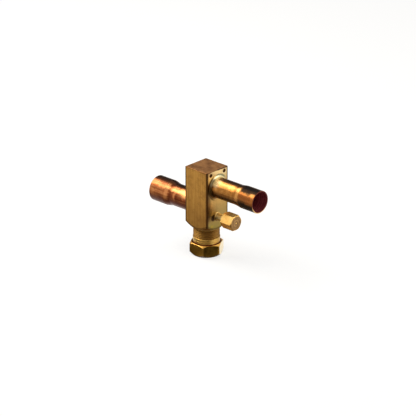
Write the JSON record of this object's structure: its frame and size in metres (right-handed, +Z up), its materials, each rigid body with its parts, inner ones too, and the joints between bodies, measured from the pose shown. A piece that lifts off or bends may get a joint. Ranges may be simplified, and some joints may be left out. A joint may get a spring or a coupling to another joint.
{
  "type": "refrigerant service valve",
  "caption": "Front-seating brass block service valve with two swaged copper tube stubs, a capped access port and a hexagonal seal cap over its stem.",
  "frame": {"origin": "on the stem axis, at the flat closed end of the seal cap, on which the valve stands", "axes": "+Z up the stem axis towards the sawn top of the block, +X along the upper tube stub away from the block, +Y completes the right hand"},
  "size_m": [0.1466, 0.0324, 0.098],
  "materials": {
    "brass_bar": "drawn square bar, lightly brushed and toned with age",
    "copper_bright": "copper tube, bright with warm golden reflections",
    "copper_red": "copper tube, redder and heat toned",
    "braze_alloy": "smooth pale braze alloy",
    "brass_turned": "turned brass",
    "brass_core": "turned brass",
    "ptfe_white": "white sealing plastic",
    "steel_pin": "ground steel",
    "steel_spring": "drawn spring wire",
    "rubber_seal": "black sealing rubber",
    "brass_cap": "bright turned brass hexagon",
    "brass_stem": "turned brass",
    "rubber_o_ring": "black sealing rubber",
    "steel_ring": "phosphated spring steel",
    "brass_cap_nut": "forged and turned brass hexagon",
    "gasket_copper": "soft copper washer"
  },
  "bodies": {
    "valve": {"valve_body": "brass_bar", "upper_tube": "copper_bright", "lower_tube": "copper_red", "upper_braze_fillet": "braze_alloy", "lower_braze_fillet": "braze_alloy", "port_fitting": "brass_turned", "port_braze_fillet": "braze_alloy", "core_body": "brass_core", "core_gasket": "ptfe_white", "core_spring": "steel_spring", "stem_retaining_ring": "steel_ring"},
    "stem_seals": {"stem_o_ring_outer": "rubber_o_ring", "stem_o_ring_inner": "rubber_o_ring"},
    "stem": {"stem": "brass_stem"},
    "cap_gasket": {"seal_cap_gasket": "gasket_copper"},
    "seal_cap": {"seal_cap": "brass_cap_nut"},
    "port_seal": {"port_cap_seal": "rubber_seal"},
    "port_cap": {"port_cap": "brass_cap"},
    "core_pin": {"core_pin": "steel_pin", "core_seat_washer": "rubber_seal"}
  },
  "joints": [
    {"name": "stem_travel", "type": "slide", "parent": "valve", "child": "stem_seals", "axis": [0, 0, 1], "range_m": [0, 0.0127]},
    {"name": "stem_turn", "type": "hinge", "parent": "stem_seals", "child": "stem", "pos_m": [0, 0, 0.02], "axis": [0, 0, 1], "range_deg": [0, 3600.1]},
    {"name": "seal_cap_travel", "type": "slide", "parent": "valve", "child": "cap_gasket", "axis": [0, 0, -1], "range_m": [0, 0.01451]},
    {"name": "seal_cap_turn", "type": "hinge", "parent": "cap_gasket", "child": "seal_cap", "pos_m": [0, 0, 0.01], "axis": [0, 0, -1], "range_deg": [0, 2880.1]},
    {"name": "port_cap_travel", "type": "slide", "parent": "valve", "child": "port_seal", "axis": [1, 0, 0], "range_m": [0, 0.01143]},
    {"name": "port_cap_turn", "type": "hinge", "parent": "port_seal", "child": "port_cap", "pos_m": [0.035, 0, 0.0455], "axis": [1, 0, 0], "range_deg": [0, 3240.1]},
    {"name": "core_pin_press", "type": "slide", "parent": "valve", "child": "core_pin", "axis": [-1, 0, 0], "range_m": [0, 0.0013], "stiffness_N_per_m": 600, "springref_m": -0.003, "deforming": ["core_spring"]}
  ],
  "couplings": [
    {"joint": "stem_turn", "follows": "stem_travel", "rad_per_m": 4947.4},
    {"joint": "seal_cap_turn", "follows": "seal_cap_travel", "rad_per_m": 3463.7},
    {"joint": "port_cap_turn", "follows": "port_cap_travel", "rad_per_m": 4947.4}
  ]
}
